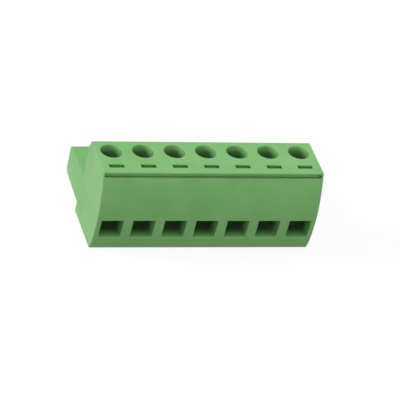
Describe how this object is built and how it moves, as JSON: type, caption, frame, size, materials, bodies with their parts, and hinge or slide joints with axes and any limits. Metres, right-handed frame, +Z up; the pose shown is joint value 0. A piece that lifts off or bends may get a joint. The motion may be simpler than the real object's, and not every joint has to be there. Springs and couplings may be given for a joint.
{
  "type": "pluggable terminal block",
  "caption": "Plug half of a pluggable terminal block: a row of screw-clamp wire entries in one moulded housing with a plug-in nose behind.",
  "frame": {"origin": "middle of the footprint, on the surface that the plug stands on", "axes": "+X along the row of ways, wires enter from -Y and the nose points to +Y, +Z up towards the screw heads"},
  "size_m": [0.0356, 0.0188, 0.0142],
  "materials": {
    "housing_plastic": "satin moulded green plastic",
    "screw_steel": "zinc-plated steel, bright",
    "clamp_zinc": "nickel-plated, slightly dull",
    "contact_tin": "tin-plated copper alloy"
  },
  "bodies": {
    "housing": {"housing": "housing_plastic", "contact_1": "contact_tin", "contact_2": "contact_tin", "contact_3": "contact_tin", "contact_4": "contact_tin", "contact_5": "contact_tin", "contact_6": "contact_tin", "contact_7": "contact_tin"},
    "screw_1": {"screw_1": "screw_steel"},
    "clamp_1": {"clamp_1": "clamp_zinc"},
    "screw_2": {"screw_2": "screw_steel"},
    "clamp_2": {"clamp_2": "clamp_zinc"},
    "screw_3": {"screw_3": "screw_steel"},
    "clamp_3": {"clamp_3": "clamp_zinc"},
    "screw_4": {"screw_4": "screw_steel"},
    "clamp_4": {"clamp_4": "clamp_zinc"},
    "screw_5": {"screw_5": "screw_steel"},
    "clamp_5": {"clamp_5": "clamp_zinc"},
    "screw_6": {"screw_6": "screw_steel"},
    "clamp_6": {"clamp_6": "clamp_zinc"},
    "screw_7": {"screw_7": "screw_steel"},
    "clamp_7": {"clamp_7": "clamp_zinc"}
  },
  "joints": [
    {"name": "screw_1_turn", "type": "hinge", "parent": "housing", "child": "screw_1", "pos_m": [-0.01524, -0.00228, 0.01415], "axis": [0, 0, -1], "range_deg": [0, 1800]},
    {"name": "clamp_1_lift", "type": "slide", "parent": "housing", "child": "clamp_1", "axis": [0, 0, 1], "range_m": [0, 0.0025]},
    {"name": "screw_2_turn", "type": "hinge", "parent": "housing", "child": "screw_2", "pos_m": [-0.01016, -0.00228, 0.01415], "axis": [0, 0, -1], "range_deg": [0, 1800]},
    {"name": "clamp_2_lift", "type": "slide", "parent": "housing", "child": "clamp_2", "axis": [0, 0, 1], "range_m": [0, 0.0025]},
    {"name": "screw_3_turn", "type": "hinge", "parent": "housing", "child": "screw_3", "pos_m": [-0.00508, -0.00228, 0.01415], "axis": [0, 0, -1], "range_deg": [0, 1800]},
    {"name": "clamp_3_lift", "type": "slide", "parent": "housing", "child": "clamp_3", "axis": [0, 0, 1], "range_m": [0, 0.0025]},
    {"name": "screw_4_turn", "type": "hinge", "parent": "housing", "child": "screw_4", "pos_m": [0, -0.00228, 0.01415], "axis": [0, 0, -1], "range_deg": [0, 1800]},
    {"name": "clamp_4_lift", "type": "slide", "parent": "housing", "child": "clamp_4", "axis": [0, 0, 1], "range_m": [0, 0.0025]},
    {"name": "screw_5_turn", "type": "hinge", "parent": "housing", "child": "screw_5", "pos_m": [0.00508, -0.00228, 0.01415], "axis": [0, 0, -1], "range_deg": [0, 1800]},
    {"name": "clamp_5_lift", "type": "slide", "parent": "housing", "child": "clamp_5", "axis": [0, 0, 1], "range_m": [0, 0.0025]},
    {"name": "screw_6_turn", "type": "hinge", "parent": "housing", "child": "screw_6", "pos_m": [0.01016, -0.00228, 0.01415], "axis": [0, 0, -1], "range_deg": [0, 1800]},
    {"name": "clamp_6_lift", "type": "slide", "parent": "housing", "child": "clamp_6", "axis": [0, 0, 1], "range_m": [0, 0.0025]},
    {"name": "screw_7_turn", "type": "hinge", "parent": "housing", "child": "screw_7", "pos_m": [0.01524, -0.00228, 0.01415], "axis": [0, 0, -1], "range_deg": [0, 1800]},
    {"name": "clamp_7_lift", "type": "slide", "parent": "housing", "child": "clamp_7", "axis": [0, 0, 1], "range_m": [0, 0.0025]}
  ],
  "couplings": [
    {"joint": "screw_1_turn", "follows": "clamp_1_lift", "rad_per_m": 12566},
    {"joint": "screw_2_turn", "follows": "clamp_2_lift", "rad_per_m": 12566},
    {"joint": "screw_3_turn", "follows": "clamp_3_lift", "rad_per_m": 12566},
    {"joint": "screw_4_turn", "follows": "clamp_4_lift", "rad_per_m": 12566},
    {"joint": "screw_5_turn", "follows": "clamp_5_lift", "rad_per_m": 12566},
    {"joint": "screw_6_turn", "follows": "clamp_6_lift", "rad_per_m": 12566},
    {"joint": "screw_7_turn", "follows": "clamp_7_lift", "rad_per_m": 12566}
  ]
}
